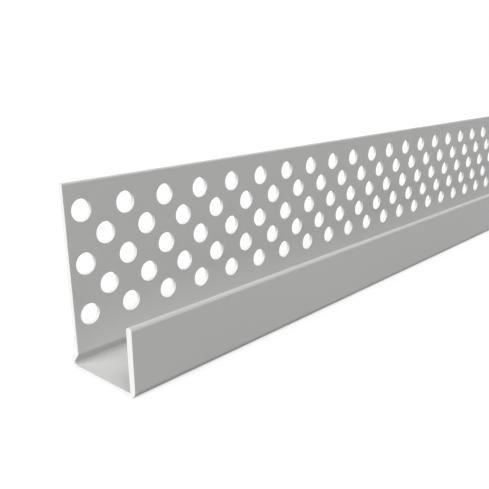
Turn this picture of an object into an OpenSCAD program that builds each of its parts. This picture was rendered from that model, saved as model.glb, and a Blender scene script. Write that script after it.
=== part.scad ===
// Perforated plastic J-trim, one extruded length lying on the underside of its web.
// X runs along the length, the lip is at the front (-Y), the flange at the back (+Y), +Z is up.
// The origin is the middle of the underside of the whole piece.

/* [Stock] */
// Length of the cut piece
stock_length = 2438.4; // [300:0.1:3660]

/* [Back flange] */
// Overall height, from the underside of the web to the top of the flange
flange_height = 59.3; // [40:0.1:90]
// Wall of the flange, and of the heel below it
flange_wall = 1.5; // [0.8:0.1:3]

/* [Channel] */
// Clear width of the channel, from the lip to the flange
channel_width = 25.4; // [10:0.1:60]
// Wall of the web at the bottom of the channel
web_wall = 1.2; // [0.8:0.1:3]
// Overall height of the front lip, from the underside of the web
lip_height = 22.5; // [8:0.1:30]
// Wall of the front lip
lip_wall = 2.4; // [1:0.1:4]

/* [Heel] */
// How far the heel stands out behind the flange
heel_depth = 2.3; // [0.5:0.1:4]
// Height above the web at which the inside of the heel starts to slope forward
heel_low = 1.3; // [0.6:0.1:2]
// Height above the web at which the slope meets the flange
heel_high = 4.1; // [2.5:0.1:6]

/* [Perforation] */
// Diameter of each punched hole
hole_diameter = 7; // [2:0.1:7.5]
// Spacing of the rows of holes up the flange
row_pitch = 8.25; // [7.8:0.05:14]
// Spacing of the staggered columns of holes along the length
column_pitch = 8.15; // [7.6:0.05:14]
// From the top of the flange to the centres of the top row
top_margin = 8.6; // [5:0.1:12]
// From the cut end to the centres of the first column
end_margin = 5.9; // [5:0.1:20]
// Least height of unpunched flange above the web
solid_band = 10; // [6:0.1:20]

/* [Edges] */
// Radius of the two edges along the top of the lip
lip_edge_radius = 1.1; // [0.2:0.1:2]
// Radius of the two edges along the top of the flange
flange_edge_radius = 0.6; // [0.1:0.05:0.7]
// Radius of the outside corner under the lip
lip_corner_radius = 2.4; // [0.2:0.1:2.6]
// Radius of the outside corner under the heel
heel_corner_radius = 0.8; // [0.2:0.1:2]
// Radius of the inside corner at the foot of the lip
inside_radius = 0.4; // [0.1:0.05:1]
// Radius of the corners inside the heel, and of its bend outside
heel_inside_radius = 0.9; // [0.1:0.05:1.2]
// Radius of the bends where the flange turns into the heel
bend_radius = 1.6; // [0.1:0.05:2]

/* [Hidden] */
$fn = 48;
trim_grey = [0.81, 0.81, 0.8];
punch_clearance = 1;
arc_steps = 6;

// Places across the section, from the front of the lip to the back of the heel
overall_depth = lip_wall + channel_width + flange_wall + heel_depth;
lip_front = -overall_depth / 2;
lip_back = lip_front + lip_wall;
flange_front = lip_back + channel_width;
flange_back = flange_front + flange_wall;
heel_front = flange_front + heel_depth;
heel_back = flange_back + heel_depth;

// The slope from the flange to the heel keeps the wall's thickness round both bends
slope_turn = atan2(heel_depth, heel_high - heel_low);
bend_lift = flange_wall * tan(slope_turn / 2);
slope_length = norm([heel_depth, heel_high - heel_low]);

// A rounding stays inside the wall or the slope that it is on
lip_round = min(lip_edge_radius, lip_wall * 0.48);
flange_round = min(flange_edge_radius, flange_wall * 0.45);
slope_round = slope_length * 0.48 / tan(slope_turn / 2);
bend_round = min(bend_radius, slope_round);
heel_round = min(heel_inside_radius, slope_round, heel_low * 0.95 / (1 + tan(slope_turn / 2)));

// Rows are counted down from the top, columns along from the end at -X
top_row = flange_height - top_margin;
lowest_row = web_wall + solid_band + hole_diameter / 2;
row_count = floor((top_row - lowest_row) / row_pitch) + 1;
column_count = floor((stock_length - 2 * end_margin) / column_pitch) + 1;
first_column = end_margin - stock_length / 2;

// Corners of the section in (Y, Z) with the radius of each, round from the front of the lip
section_corners = [
    [[lip_front, 0], lip_corner_radius],
    [[lip_front, lip_height], lip_round],
    [[lip_back, lip_height], lip_round],
    [[lip_back, web_wall], inside_radius],
    [[heel_front, web_wall], heel_round],
    [[heel_front, web_wall + heel_low], heel_round],
    [[flange_front, web_wall + heel_high], bend_round],
    [[flange_front, flange_height], flange_round],
    [[flange_back, flange_height], flange_round],
    [[flange_back, web_wall + heel_high + bend_lift], bend_round],
    [[heel_back, web_wall + heel_low + bend_lift], heel_round],
    [[heel_back, 0], heel_corner_radius]
];

function unit(v) = v / norm(v);

function turn_sign(u, v) = u[0] * v[1] - u[1] * v[0] > 0 ? 1 : -1;

// Points of the arc that rounds one corner between its two neighbours
function corner_arc(before, corner, after, radius) =
    let (
        to_before = unit(before - corner),
        to_after = unit(after - corner),
        half_angle = acos(to_before * to_after) / 2,
        centre = corner + unit(to_before + to_after) * radius / sin(half_angle),
        start = corner + to_before * radius / tan(half_angle) - centre,
        sweep = -turn_sign(to_before, to_after) * (180 - 2 * half_angle),
        start_angle = atan2(start[1], start[0])
    )
    [for (i = [0:arc_steps])
        let (angle = start_angle + sweep * i / arc_steps)
        centre + radius * [cos(angle), sin(angle)]];

function rounded(corners) =
    let (count = len(corners))
    [for (i = [0:count - 1])
        each corner_arc(
            corners[(i + count - 1) % count][0],
            corners[i][0],
            corners[(i + 1) % count][0],
            corners[i][1])];

// The solid section, run out along X
module extrusion() {
    translate([-stock_length / 2, 0, 0])
        rotate([90, 0, 90])
            linear_extrude(height = stock_length)
                polygon(rounded(section_corners));
}

// One punched hole through the flange, centred on its column and row
module punched_hole() {
    rotate([90, 0, 0])
        cylinder(d = hole_diameter, h = flange_wall + 2 * punch_clearance, center = true);
}

// The staggered pattern: even columns hold rows 0, 2, 4 and odd columns rows 1, 3
module perforation() {
    for (column = [0:column_count - 1])
        for (row = [column % 2:2:row_count - 1])
            translate([
                first_column + column * column_pitch,
                (flange_front + flange_back) / 2,
                top_row - row * row_pitch])
                punched_hole();
}

module j_trim() {
    color(trim_grey)
        difference() {
            extrusion();
            perforation();
        }
}

j_trim();
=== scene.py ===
import math

import bpy
from mathutils import Matrix, Vector


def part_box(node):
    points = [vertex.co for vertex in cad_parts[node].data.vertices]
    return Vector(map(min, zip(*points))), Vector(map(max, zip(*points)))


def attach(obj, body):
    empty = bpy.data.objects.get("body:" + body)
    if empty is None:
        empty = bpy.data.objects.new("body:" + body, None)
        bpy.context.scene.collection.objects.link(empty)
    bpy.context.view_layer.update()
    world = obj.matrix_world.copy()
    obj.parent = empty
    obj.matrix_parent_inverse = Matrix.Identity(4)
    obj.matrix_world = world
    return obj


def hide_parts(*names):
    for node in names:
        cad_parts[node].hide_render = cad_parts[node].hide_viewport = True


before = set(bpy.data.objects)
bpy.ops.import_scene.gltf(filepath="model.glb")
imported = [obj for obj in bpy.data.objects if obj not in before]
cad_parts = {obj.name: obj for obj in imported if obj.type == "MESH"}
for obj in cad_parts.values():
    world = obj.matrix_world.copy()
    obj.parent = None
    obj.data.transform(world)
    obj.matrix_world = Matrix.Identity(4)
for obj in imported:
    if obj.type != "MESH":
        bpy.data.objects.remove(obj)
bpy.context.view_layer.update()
millimetre = 0.001
print("frame loaded:", *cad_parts)


# Shader maths

class Wire:  # a node's output, so that maths on it reads as maths
    def __init__(self, sketch, socket):
        self.sketch = sketch
        self.socket = socket

    def join(self, operation, first, second):
        isVector = any(
            isinstance(side, tuple) or (isinstance(side, Wire) and side.socket.type == "VECTOR")
            for side in (first, second)
        )
        kind = "ShaderNodeVectorMath" if isVector else "ShaderNodeMath"
        return self.sketch.add(kind, {"operation": operation}, {0: first, 1: second})

    def __add__(self, other):
        return self.join("ADD", self, other)

    def __radd__(self, other):
        return self.join("ADD", other, self)

    def __sub__(self, other):
        return self.join("SUBTRACT", self, other)

    def __rsub__(self, other):
        return self.join("SUBTRACT", other, self)

    def __mul__(self, other):
        return self.join("MULTIPLY", self, other)

    def __rmul__(self, other):
        return self.join("MULTIPLY", other, self)


class Sketch:  # the nodes of one material, or of the world
    def __init__(self, owner):
        owner.use_nodes = True
        self.tree = owner.node_tree
        self.tree.nodes.clear()

    def add(self, kind, settings=None, values=None, out=0):  # settings first, as sockets depend on them
        node = self.tree.nodes.new(kind)
        for name, setting in (settings or {}).items():
            setattr(node, name, setting)
        for name, value in (values or {}).items():
            if isinstance(value, Wire):
                self.tree.links.new(value.socket, node.inputs[name])
            else:
                node.inputs[name].default_value = value
        return Wire(self, node.outputs[out]) if len(node.outputs) else None

    def noise(self, place, scale, detail):
        values = {"Vector": place, "Scale": scale, "Detail": detail}
        return self.add("ShaderNodeTexNoise", {}, values, out="Fac")

    def mixColour(self, share, first, second):  # 6, 7 and 2 are the Mix node's colour sockets
        values = {0: share, 6: (*first, 1.0), 7: (*second, 1.0)}
        return self.add("ShaderNodeMix", {"data_type": "RGBA"}, values, out=2)

    def seenByLens(self):  # 1 for rays from the lens, and for those mirrored or let through on the way
        kinds = ("Is Camera Ray", "Is Glossy Ray", "Is Transmission Ray")
        return sum(self.add("ShaderNodeLightPath", out=kind) for kind in kinds)


def newMaterial(name):
    material = bpy.data.materials.new(name)
    return material, Sketch(material)


# Finishes of the plastic

vinylRefraction = 1.53


def perMetre(size):  # noise scale for features of that many millimetres
    return 1 / (size * millimetre)


def swing(noise, amount):  # noise lies about 0.5; this makes it a change up and down
    return (noise - 0.5) * amount


def coverInVinyl(sketch, colour, roughness, height, gloss):  # height is in millimetres
    bump = sketch.add("ShaderNodeBump", {}, {"Strength": 1.0, "Distance": millimetre, "Height": height})
    surface = sketch.add("ShaderNodeBsdfPrincipled", {}, {
        "Base Color": colour, "Roughness": roughness, "Normal": bump,
        "IOR": vinylRefraction, "Specular IOR Level": gloss})
    sketch.add("ShaderNodeOutputMaterial", {}, {"Surface": surface})


satin = {  # the moulded skin, nearly matt
    "pale": (0.630, 0.630, 0.619),
    "deep": (0.600, 0.600, 0.590),
    "roughness": 0.56,
    "gloss": 0.06,
    "driftSize": 90.0,  # patches of slightly deeper grey along the piece
    "driftShare": 1.4,
    "lineSize": 0.9,  # die lines, which run along the extrusion
    "lineLength": 700.0,
    "lineShare": 0.5,
    "lineRoughness": 0.12,
    "lineHeight": 0.006,
    "grainSize": 0.35,
    "grainRoughness": 0.10,
    "grainHeight": 0.004,
}


def satinVinyl():
    material, sketch = newMaterial("satinVinyl")
    place = sketch.add("ShaderNodeTexCoord", out="Object")
    along, across = perMetre(satin["lineLength"]), perMetre(satin["lineSize"])
    drift = sketch.noise(place, perMetre(satin["driftSize"]), detail=3.0)
    lines = sketch.noise(place * (along, across, across), 1.0, detail=3.0)
    grain = sketch.noise(place, perMetre(satin["grainSize"]), detail=2.0)
    share = swing(drift, satin["driftShare"]) + swing(lines, satin["lineShare"]) + 0.5
    colour = sketch.mixColour(share, satin["pale"], satin["deep"])
    roughness = (satin["roughness"] + swing(grain, satin["grainRoughness"])
                 + swing(lines, satin["lineRoughness"]))
    height = lines * satin["lineHeight"] + grain * satin["grainHeight"]
    coverInVinyl(sketch, colour, roughness, height, satin["gloss"])
    return material


sawn = {  # the cut ends, rougher, and paler partly because a sawn face is whiter and partly as painted light for ends that face the end sun
    "pale": (0.830, 0.830, 0.816),
    "deep": (0.770, 0.770, 0.757),
    "roughness": 0.6,
    "gloss": 0.5,
    "bladeCentre": (0.0, -40.0, 150.0),  # the saw came down from above the lip
    "markSpacing": 0.7,
    "markShare": 0.25,
    "markHeight": 0.008,
    "wobbleSize": 3.0,
    "wobble": 6.0,  # radians by which a saw mark wanders
    "grainSize": 0.25,
    "grainShare": 0.8,
    "grainRoughness": 0.2,
    "grainHeight": 0.02,
}


def sawnVinyl():
    material, sketch = newMaterial("sawnVinyl")
    place = sketch.add("ShaderNodeTexCoord", out="Object")
    acrossCut = place * (0.0, 1.0, 1.0)  # without X, so that both ends get the same sweep
    bladeCentre = tuple(side * millimetre for side in sawn["bladeCentre"])
    sweep = sketch.add("ShaderNodeVectorMath", {"operation": "DISTANCE"}, {
        0: acrossCut, 1: bladeCentre}, out="Value")
    wobble = sketch.noise(place, perMetre(sawn["wobbleSize"]), detail=2.0)
    turn = sweep * (2 * math.pi * perMetre(sawn["markSpacing"])) + wobble * sawn["wobble"]
    marks = sketch.add("ShaderNodeMath", {"operation": "SINE"}, {0: turn})
    grain = sketch.noise(place, perMetre(sawn["grainSize"]), detail=3.0)
    share = 0.5 + marks * sawn["markShare"] + swing(grain, sawn["grainShare"])
    # the pale tone here is partly painted light on the lit ends
    colour = sketch.mixColour(share, sawn["pale"], sawn["deep"])
    roughness = sawn["roughness"] + swing(grain, sawn["grainRoughness"])
    height = marks * sawn["markHeight"] + grain * sawn["grainHeight"]
    coverInVinyl(sketch, colour, roughness, height, sawn["gloss"])
    return material


punched = {  # the walls of the holes, paler than the skin as painted light for walls lit by the end sun
    "pale": (0.780, 0.780, 0.767),
    "deep": (0.724, 0.724, 0.712),
    "roughness": 0.45,
    "gloss": 0.5,
    "dragSize": 0.25,  # drag marks, which run through the hole
    "dragLength": 4.0,
    "dragRoughness": 0.2,
    "dragHeight": 0.02,
}


def punchedVinyl():
    material, sketch = newMaterial("punchedVinyl")
    place = sketch.add("ShaderNodeTexCoord", out="Object")
    along, across = perMetre(punched["dragLength"]), perMetre(punched["dragSize"])
    drag = sketch.noise(place * (across, along, across), 1.0, detail=2.0)
    # the pale wall tone is painted light, not a paler plastic
    colour = sketch.mixColour(drag, punched["pale"], punched["deep"])
    roughness = punched["roughness"] + swing(drag, punched["dragRoughness"])
    coverInVinyl(sketch, colour, roughness, drag * punched["dragHeight"], punched["gloss"])
    return material


# The trim

low, high = (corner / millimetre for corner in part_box("j_trim"))
trim = {
    "length": high.x - low.x,
    "lipFront": low.y,
    "heelBack": high.y,
    "height": high.z,
    "flangeWall": 1.5,
    "webWall": 1.2,
    "lipHeight": 22.5,
    "lipWall": 2.4,
    "heelDepth": 2.3,
    "heelLow": 1.3,  # above the web, where the heel starts to lean forward
    "heelHigh": 4.1,  # above the web, where it meets the flange
    "lipEdge": 1.1,  # radii of the edges and bends
    "flangeEdge": 0.6,
    "lipCorner": 2.4,
    "heelCorner": 0.8,
    "inside": 0.4,
    "heelRound": 0.9,
    "bend": 1.6,
    "arcStep": 12.0,  # the most degrees of a bend to each flat
    "cutEdge": 0.15,  # eased edge round the cut ends
    "columnsPerLength": 12,  # the long strips are split this often
}
perforation = {
    "diameter": 7.0,
    "rowPitch": 8.25,
    "columnPitch": 8.15,
    "topMargin": 8.6,
    "endMargin": 5.9,
    "solidBand": 10.0,  # unpunched above the web
    "sides": 24,
    "frontEase": 0.10,  # rims, rounder where the punch went in
    "backEase": 0.08,
}


def sectionArcs():  # each corner's name with its arc, as (place, facing) pairs in the Y, Z plane
    lipFront, heelBack, height = trim["lipFront"], trim["heelBack"], trim["height"]
    lipBack = lipFront + trim["lipWall"]
    flangeBack = heelBack - trim["heelDepth"]
    flangeFront = flangeBack - trim["flangeWall"]
    heelFront = flangeFront + trim["heelDepth"]
    web = trim["webWall"]
    heelLow, heelHigh = web + trim["heelLow"], web + trim["heelHigh"]
    lean = math.atan2(trim["heelDepth"], trim["heelHigh"] - trim["heelLow"])
    bendLift = trim["flangeWall"] * math.tan(lean / 2)  # keeps the wall's thickness round both bends
    corners = {  # Y and Z of each corner, with its radius
        "underLip": (lipFront, 0.0, trim["lipCorner"]),
        "lipTopFront": (lipFront, trim["lipHeight"], trim["lipEdge"]),
        "lipTopBack": (lipBack, trim["lipHeight"], trim["lipEdge"]),
        "channelFront": (lipBack, web, trim["inside"]),
        "channelBack": (heelFront, web, trim["heelRound"]),
        "heelInside": (heelFront, heelLow, trim["heelRound"]),
        "bendFront": (flangeFront, heelHigh, trim["bend"]),
        "flangeTopFront": (flangeFront, height, trim["flangeEdge"]),
        "flangeTopBack": (flangeBack, height, trim["flangeEdge"]),
        "bendBack": (flangeBack, heelHigh + bendLift, trim["bend"]),
        "heelOutside": (heelBack, heelLow + bendLift, trim["heelRound"]),
        "underHeel": (heelBack, 0.0, trim["heelCorner"]),
    }
    names = list(corners)
    arcs = {}
    for i, name in enumerate(names):
        corner = Vector(corners[name][:2])
        radius = corners[name][2]
        arriving = (corner - Vector(corners[names[i - 1]][:2])).normalized()
        leaving = (Vector(corners[names[(i + 1) % len(names)]][:2]) - corner).normalized()
        turn = math.atan2(arriving.cross(leaving), arriving.dot(leaving))
        outward = 1 if turn < 0 else -1  # an outside corner turns right, an inside one left
        facing = Vector((-arriving.y, arriving.x))
        start = corner - arriving * radius * math.tan(abs(turn) / 2)
        centre = start - facing * radius * outward
        steps = math.ceil(abs(math.degrees(turn)) / trim["arcStep"])
        arcs[name] = []
        for step in range(steps + 1):
            turned = Matrix.Rotation(turn * step / steps, 2) @ facing
            arcs[name].append((centre + turned * radius * outward, turned))
    return arcs


class Shell:  # a closed surface, welded by place, with a facing for each of its points
    weldDigits = 4  # two places are one point where this many digits of a millimetre agree

    def __init__(self):
        self.places, self.facings, self.faces, self.finishes = [], [], [], []
        self.known = {}

    def point(self, place, facing):
        key = tuple(round(side, self.weldDigits) for side in place)
        if key not in self.known:
            self.known[key] = len(self.places)
            self.places.append(Vector(place))
            self.facings.append(Vector(facing).normalized())
        return self.known[key]

    def face(self, corners, finish):  # turned outward by the facings of its corners
        turning = Vector()
        for here, after in zip(corners, corners[1:] + corners[:1]):
            turning += self.places[here].cross(self.places[after])
        outward = sum((self.facings[corner] for corner in corners), Vector())
        self.faces.append(corners if turning.dot(outward) > 0 else corners[::-1])
        self.finishes.append(finish)

    def makeObject(self, name, finishes):
        mesh = bpy.data.meshes.new(name)
        mesh.from_pydata([place * millimetre for place in self.places], [], self.faces)
        for finish in finishes.values():
            mesh.materials.append(finish)
        order = list(finishes)
        for polygon, finish in zip(mesh.polygons, self.finishes):
            polygon.material_index = order.index(finish)
            polygon.use_smooth = True
        mesh.normals_split_custom_set_from_vertices(self.facings)
        made = bpy.data.objects.new(name, mesh)
        bpy.context.scene.collection.objects.link(made)
        return made


def countAlong(room, pitch):  # how many holes are centred within that room
    slack = 0.001  # of a pitch, since the frame's box is rounded
    return math.floor(room / pitch + slack) + 1


def columnPlaces():  # X of each column of holes, from the cut end at -X
    count = countAlong(trim["length"] - 2 * perforation["endMargin"], perforation["columnPitch"])
    first = perforation["endMargin"] - trim["length"] / 2
    return [first + i * perforation["columnPitch"] for i in range(count)]


def rowHeights():  # Z of each row of holes, from the top
    top = trim["height"] - perforation["topMargin"]
    lowest = trim["webWall"] + perforation["solidBand"] + perforation["diameter"] / 2
    count = countAlong(top - lowest, perforation["rowPitch"])
    return [top - i * perforation["rowPitch"] for i in range(count)]


def isPunched(column, row):  # the columns are staggered
    return (column - row) % 2 == 0


def holeRing(shell, x, y, z, radius, facing=None):  # a ring that faces as given, or its own middle
    ring = []
    for side in range(perforation["sides"]):
        angle = 2 * math.pi * side / perforation["sides"]
        away = Vector((math.cos(angle), 0.0, math.sin(angle)))
        place = Vector((x, y, z)) + away * radius
        ring.append(shell.point(place, facing or -away))
    return ring


def addHole(shell, x, z, front, back):  # the rims and wall of one hole; returns its ring on each face
    radius = perforation["diameter"] / 2
    frontEase, backEase = perforation["frontEase"], perforation["backEase"]
    rings = [
        holeRing(shell, x, front, z, radius + frontEase, facing=(0, -1, 0)),
        holeRing(shell, x, front + frontEase, z, radius),
        holeRing(shell, x, back - backEase, z, radius),
        holeRing(shell, x, back, z, radius + backEase, facing=(0, 1, 0)),
    ]
    for finish, before, after in zip(("satin", "punched", "satin"), rings, rings[1:]):
        for i in range(len(before)):
            shell.face([before[i - 1], before[i], after[i], after[i - 1]], finish)
    return rings[0], rings[-1]


def addPlate(shell, y, facing, levels, borders, ends, rings):  # one face of the flange, round its holes
    def spot(x, z):
        return shell.point((x, y, z), (0, facing, 0))

    half = perforation["sides"] // 2
    lastRow = len(levels) - 3  # the levels are the rows, with the plate's edge above and below them
    for column, (left, right) in enumerate(zip(borders, borders[1:])):
        for row in range(lastRow + 1):
            if not isPunched(column, row):
                continue
            over, middle, under = levels[row:row + 3]
            ring = rings[column, row]
            # one panel over the middle of the hole and one under it
            shell.face([spot(right, middle), spot(right, over), spot(left, over), spot(left, middle)]
                       + ring[half::-1], "satin")
            shell.face([spot(left, middle), spot(left, under), spot(right, under), spot(right, middle)]
                       + ring[:1] + ring[:half - 1:-1], "satin")
        # a plain panel at the top or foot of a column that isn't punched there
        for row, (over, under) in ((0, levels[:2]), (lastRow, levels[-2:])):
            if not isPunched(column, row):
                shell.face([spot(right, over), spot(left, over), spot(left, under), spot(right, under)],
                           "satin")
    # the plain margin between the outermost columns and the cut ends
    for border, end in ((borders[0], ends[0]), (borders[-1], ends[1])):
        shell.face([spot(end, levels[0])] + [spot(border, z) for z in levels] + [spot(end, levels[-1])],
                   "satin")


def addStrips(shell, chain, stations, borders):  # long strips over a run of the section's points
    shared = (0, len(chain) - 1)  # these lines are the plates' edges, and have a point at each border
    for i in range(len(chain) - 1):
        for start, stop in zip(stations, stations[1:]):
            lines = []
            for j in (i, i + 1):
                inner = [x for x in borders if start < x < stop] if j in shared else []
                (y, z), (facingY, facingZ) = chain[j]
                facing = (0, facingY, facingZ)
                lines.append([shell.point((x, y, z), facing) for x in (start, *inner, stop)])
            shell.face(lines[0] + lines[1][::-1], "satin")


def addCutEnd(shell, outline, x, direction):  # the flat sawn face, and the eased edge round it
    ease = trim["cutEdge"]
    outer, inner = [], []
    for (y, z), (facingY, facingZ) in outline:
        outer.append(shell.point((x - direction * ease, y, z), (0, facingY, facingZ)))
        inner.append(shell.point((x, y - facingY * ease, z - facingZ * ease), (direction, 0, 0)))
    for i in range(len(outline)):
        shell.face([outer[i - 1], outer[i], inner[i], inner[i - 1]], "sawn")
    shell.face(inner, "sawn")


def buildTrim():
    arcs = sectionArcs()
    names = list(arcs)
    split = names.index("flangeTopFront")
    edge = arcs["flangeTopFront"] + arcs["flangeTopBack"]  # over the top of the flange
    body = [spot for name in names[split + 2:] + names[:split] for spot in arcs[name]]  # all the rest
    front, top = edge[0][0]
    back = edge[-1][0].x  # in the section's plane, x is the trim's Y and y is its Z
    rows = rowHeights()
    columns = columnPlaces()
    pitch = perforation["columnPitch"]
    borders = [columns[0] - pitch / 2] + [x + pitch / 2 for x in columns]
    end = trim["length"] / 2 - trim["cutEdge"]
    stations = [-end, *borders[:-1:trim["columnsPerLength"]], borders[-1], end]

    shell = Shell()
    frontRings, backRings = {}, {}
    for column, x in enumerate(columns):
        for row, z in enumerate(rows):
            if isPunched(column, row):
                rings = addHole(shell, x, z, front, back)
                frontRings[column, row], backRings[column, row] = rings
    frontLevels = [top, *rows, body[-1][0].y]
    backLevels = [top, *rows, body[0][0].y]
    addPlate(shell, front, -1, frontLevels, borders, (-end, end), frontRings)
    addPlate(shell, back, 1, backLevels, borders, (-end, end), backRings)
    addStrips(shell, body, stations, borders)
    addStrips(shell, edge, stations, borders)
    for direction in (-1, 1):
        addCutEnd(shell, edge + body, direction * trim["length"] / 2, direction)
    finishes = {"satin": satinVinyl(), "sawn": sawnVinyl(), "punched": punchedVinyl()}
    made = shell.makeObject("trimBody", finishes)
    print("trim built:", len(frontRings), "holes,", len(shell.faces), "faces")
    return made


trimBody = buildTrim()
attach(trimBody, "root")
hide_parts("j_trim")


# The floor, the lights and the camera

floorPaper = {
    "size": 60.0,  # metres
    "drop": 0.02,  # just under the web, so that the two never share a plane
    "colour": (0.38, 0.38, 0.38, 1.0),
    "roughness": 0.9,
    "glow": 0.66,  # brings what the lens sees up to white
}


def layFloor():
    half = floorPaper["size"] / 2
    corners = [(-half, -half, 0), (half, -half, 0), (half, half, 0), (-half, half, 0)]
    mesh = bpy.data.meshes.new("floor")
    mesh.from_pydata(corners, [], [(0, 1, 2, 3)])
    material, sketch = newMaterial("floorPaper")
    surface = sketch.add("ShaderNodeBsdfPrincipled", {}, {
        "Base Color": floorPaper["colour"], "Roughness": floorPaper["roughness"],
        "Specular IOR Level": 0.0, "Emission Strength": 1.0,
        "Emission Color": sketch.seenByLens() * floorPaper["glow"]})
    sketch.add("ShaderNodeOutputMaterial", {}, {"Surface": surface})
    mesh.materials.append(material)
    floor = bpy.data.objects.new("floor", mesh)
    floor.location.z = -floorPaper["drop"] * millimetre
    bpy.context.scene.collection.objects.link(floor)


studio = {
    "ambient": 0.04,
    "suns": {  # towards the light, strength, spread in degrees
        "frontSun": ((-0.35, -0.47, 0.81), 2.44, 50.0),
        "endSun": ((-0.90, 0.25, 0.30), 2.25, 40.0),
        "backSun": ((0.35, 0.80, 0.50), 0.6, 60.0),
        "farSun": ((0.85, -0.30, 0.45), 0.3, 60.0),
    },
}


def lightStudio():  # a dim white world that the lens sees as plain white, and soft suns
    world = bpy.data.worlds.new("studioWhite")
    bpy.context.scene.world = world
    sketch = Sketch(world)
    white = (1.0, 1.0, 1.0, 1.0)
    dim = sketch.add("ShaderNodeBackground", {}, {"Color": white, "Strength": studio["ambient"]})
    plain = sketch.add("ShaderNodeBackground", {}, {"Color": white, "Strength": 1.0})
    surface = sketch.add("ShaderNodeMixShader", {}, {0: sketch.seenByLens(), 1: dim, 2: plain})
    sketch.add("ShaderNodeOutputWorld", {}, {"Surface": surface})
    for name, (towards, strength, spread) in studio["suns"].items():
        lamp = bpy.data.lights.new(name, "SUN")
        lamp.energy = strength
        lamp.angle = math.radians(spread)
        sun = bpy.data.objects.new(name, lamp)
        sun.rotation_mode = "QUATERNION"
        sun.rotation_quaternion = Vector(towards).to_track_quat("Z", "Y")
        bpy.context.scene.collection.objects.link(sun)


lens = {
    "place": (-1318.07, -145.93, 93.79),
    "azimuth": 48.333,  # degrees from +Y towards +X
    "tilt": 21.645,  # degrees down
    "roll": 0.461,
    "focal": 46.483,
    "sensor": 36.0,
    "shift": 0.1237,  # the photograph's optical centre lies below its middle
    "nearest": 0.005,  # metres
    "farthest": 200.0,
}


def placeCamera():
    azimuth, tilt, roll = (math.radians(lens[name]) for name in ("azimuth", "tilt", "roll"))
    ahead = Vector((math.sin(azimuth), math.cos(azimuth), 0))
    level = Vector((math.cos(azimuth), -math.sin(azimuth), 0))
    forward = ahead * math.cos(tilt) - Vector((0, 0, math.sin(tilt)))
    upright = level.cross(forward)
    right = level * math.cos(roll) + upright * math.sin(roll)
    up = upright * math.cos(roll) - level * math.sin(roll)
    turned = Matrix((right, up, -forward)).transposed().to_4x4()
    camera = bpy.data.cameras.new("camera")
    camera.lens = lens["focal"]
    camera.sensor_width = lens["sensor"]
    camera.shift_y = lens["shift"]
    camera.clip_start = lens["nearest"]
    camera.clip_end = lens["farthest"]
    made = bpy.data.objects.new("camera", camera)
    made.matrix_world = Matrix.Translation(Vector(lens["place"]) * millimetre) @ turned
    bpy.context.scene.collection.objects.link(made)
    bpy.context.scene.camera = made


layFloor()
lightStudio()
placeCamera()
bpy.context.scene.view_settings.view_transform = "Standard"
print("studio ready")
